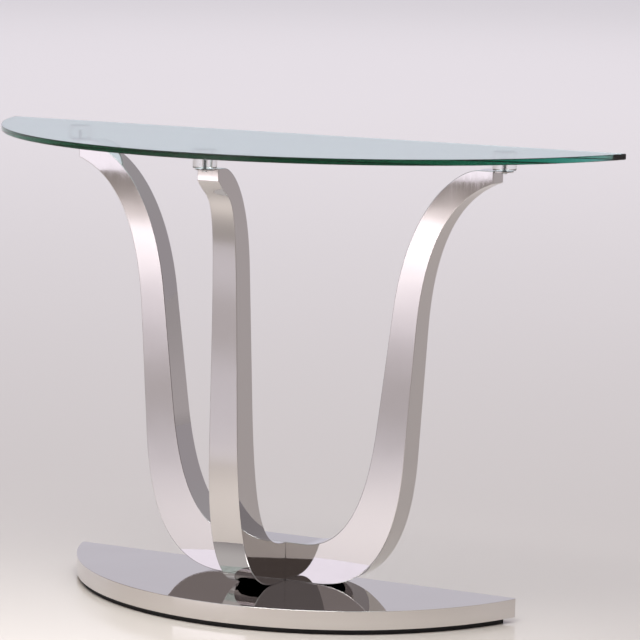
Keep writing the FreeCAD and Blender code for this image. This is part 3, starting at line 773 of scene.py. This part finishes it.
left_wall = blend(share("Y", BACK_TO_FRONT), "#DDDAE5", "#8C807B")
right_wall = blend(share("Y", BACK_TO_FRONT), "#B8B2B6", "#6A605A")
walls = blend(share("X", LEFT_TO_RIGHT), left_wall, right_wall)
upper_air = blend(share("Z", WALLS_TO_UPPER_AIR), walls, "#B9B5B8")
room = blend(share("Z", UPPER_AIR_TO_CEILING), upper_air, "#FFFFFF")
air = add(sky, "ShaderNodeBackground", {"Color": room, "Strength": WORLD_STRENGTH})
add(sky, "ShaderNodeOutputWorld", {"Surface": air.outputs[0]})
print("floor (m):", FLOOR_M, "world strength:", WORLD_STRENGTH)

# %% [markdown]
# Five area lights stand in that room. The key is a large soft one over the floor in front,
# and two long strips stand low behind it: the flat cheeks of the legs face them, so they give
# the steel its broad bright shapes. A small one overhead lights the floor in front of the
# base. The last is large and high and lights the floor far behind the table. It is kept out of
# mirror reflections, or else it would show in the legs as one flat shape in the floor's colour.

# %% Stage: area lights
LIGHTS = {
    "key_left": {"at": (-2.8, -7.4, 3.0), "aim": (-2.6, -6.8, 0.0), "size": (4.0, 3.0),
                 "watts": 170, "spread": 80, "tint": "#F6F6FF", "mirrored": True},
    "strip_low": {"at": (-4.3, -8.0, 0.44), "aim": (0.0, 0.0, 0.44), "size": (6.0, 0.66),
                  "watts": 15.5, "spread": 180, "tint": "#F6F2FF", "mirrored": True},
    "strip_high": {"at": (-4.3, -8.0, 1.48), "aim": (0.0, 0.0, 1.48), "size": (6.0, 0.84),
                   "watts": 24, "spread": 180, "tint": "#F2F0FF", "mirrored": True},
    "near_top": {"at": (0.05, -0.85, 1.9), "aim": (0.05, -0.6, 0.0), "size": (1.2, 0.7),
                 "watts": 6.0, "spread": 70, "tint": "#FFFFFF", "mirrored": True},
    "back_floor": {"at": (-5.5, 12.0, 6.0), "aim": (-5.5, 12.0, 0.0), "size": (16.0, 14.0),
                   "watts": 650, "spread": 180, "tint": "#F0EEFF", "mirrored": False},
}
for name, light in LIGHTS.items():
    data = bpy.data.lights.new(name, "AREA")
    data.shape = "RECTANGLE"
    data.size, data.size_y = light["size"]
    data.energy = light["watts"]
    data.spread = math.radians(light["spread"])
    data.color = colour(light["tint"])[:3]
    lamp = bpy.data.objects.new(name, data)
    lamp.location = light["at"]
    aim = Vector(light["aim"]) - lamp.location
    lamp.rotation_euler = aim.to_track_quat("-Z", "Y").to_euler()
    lamp.visible_glossy = light["mirrored"]
    bpy.context.scene.collection.objects.link(lamp)
print("area lights:", len(LIGHTS))

# %% [markdown]
# The camera stands well back with a long lens, a little above the glass and to its right.

# %% Camera
LENS_MM = 184.9
SENSOR_MM = 36
SHIFT = (0.0388, -0.0172)
CAMERA_AT = (2.6682, -4.8145, 1.2805)
AZIMUTH_DEGREES = 28.05
DOWNWARD_DEGREES = 7.79
ROLL_DEGREES = 0.99

camera_data = bpy.data.cameras.new("camera")
camera_data.lens = LENS_MM
camera_data.sensor_width = SENSOR_MM
camera_data.shift_x, camera_data.shift_y = SHIFT
camera = bpy.data.objects.new("camera", camera_data)
heading = Matrix.Rotation(math.radians(AZIMUTH_DEGREES), 4, "Z")
tilt = Matrix.Rotation(math.radians(90 - DOWNWARD_DEGREES), 4, "X")
roll = Matrix.Rotation(math.radians(ROLL_DEGREES), 4, "Z")
camera.matrix_world = Matrix.Translation(CAMERA_AT) @ heading @ tilt @ roll
bpy.context.scene.collection.objects.link(camera)
bpy.context.scene.camera = camera
bpy.context.scene.view_settings.view_transform = "Standard"
print("camera at", CAMERA_AT, "lens", LENS_MM)
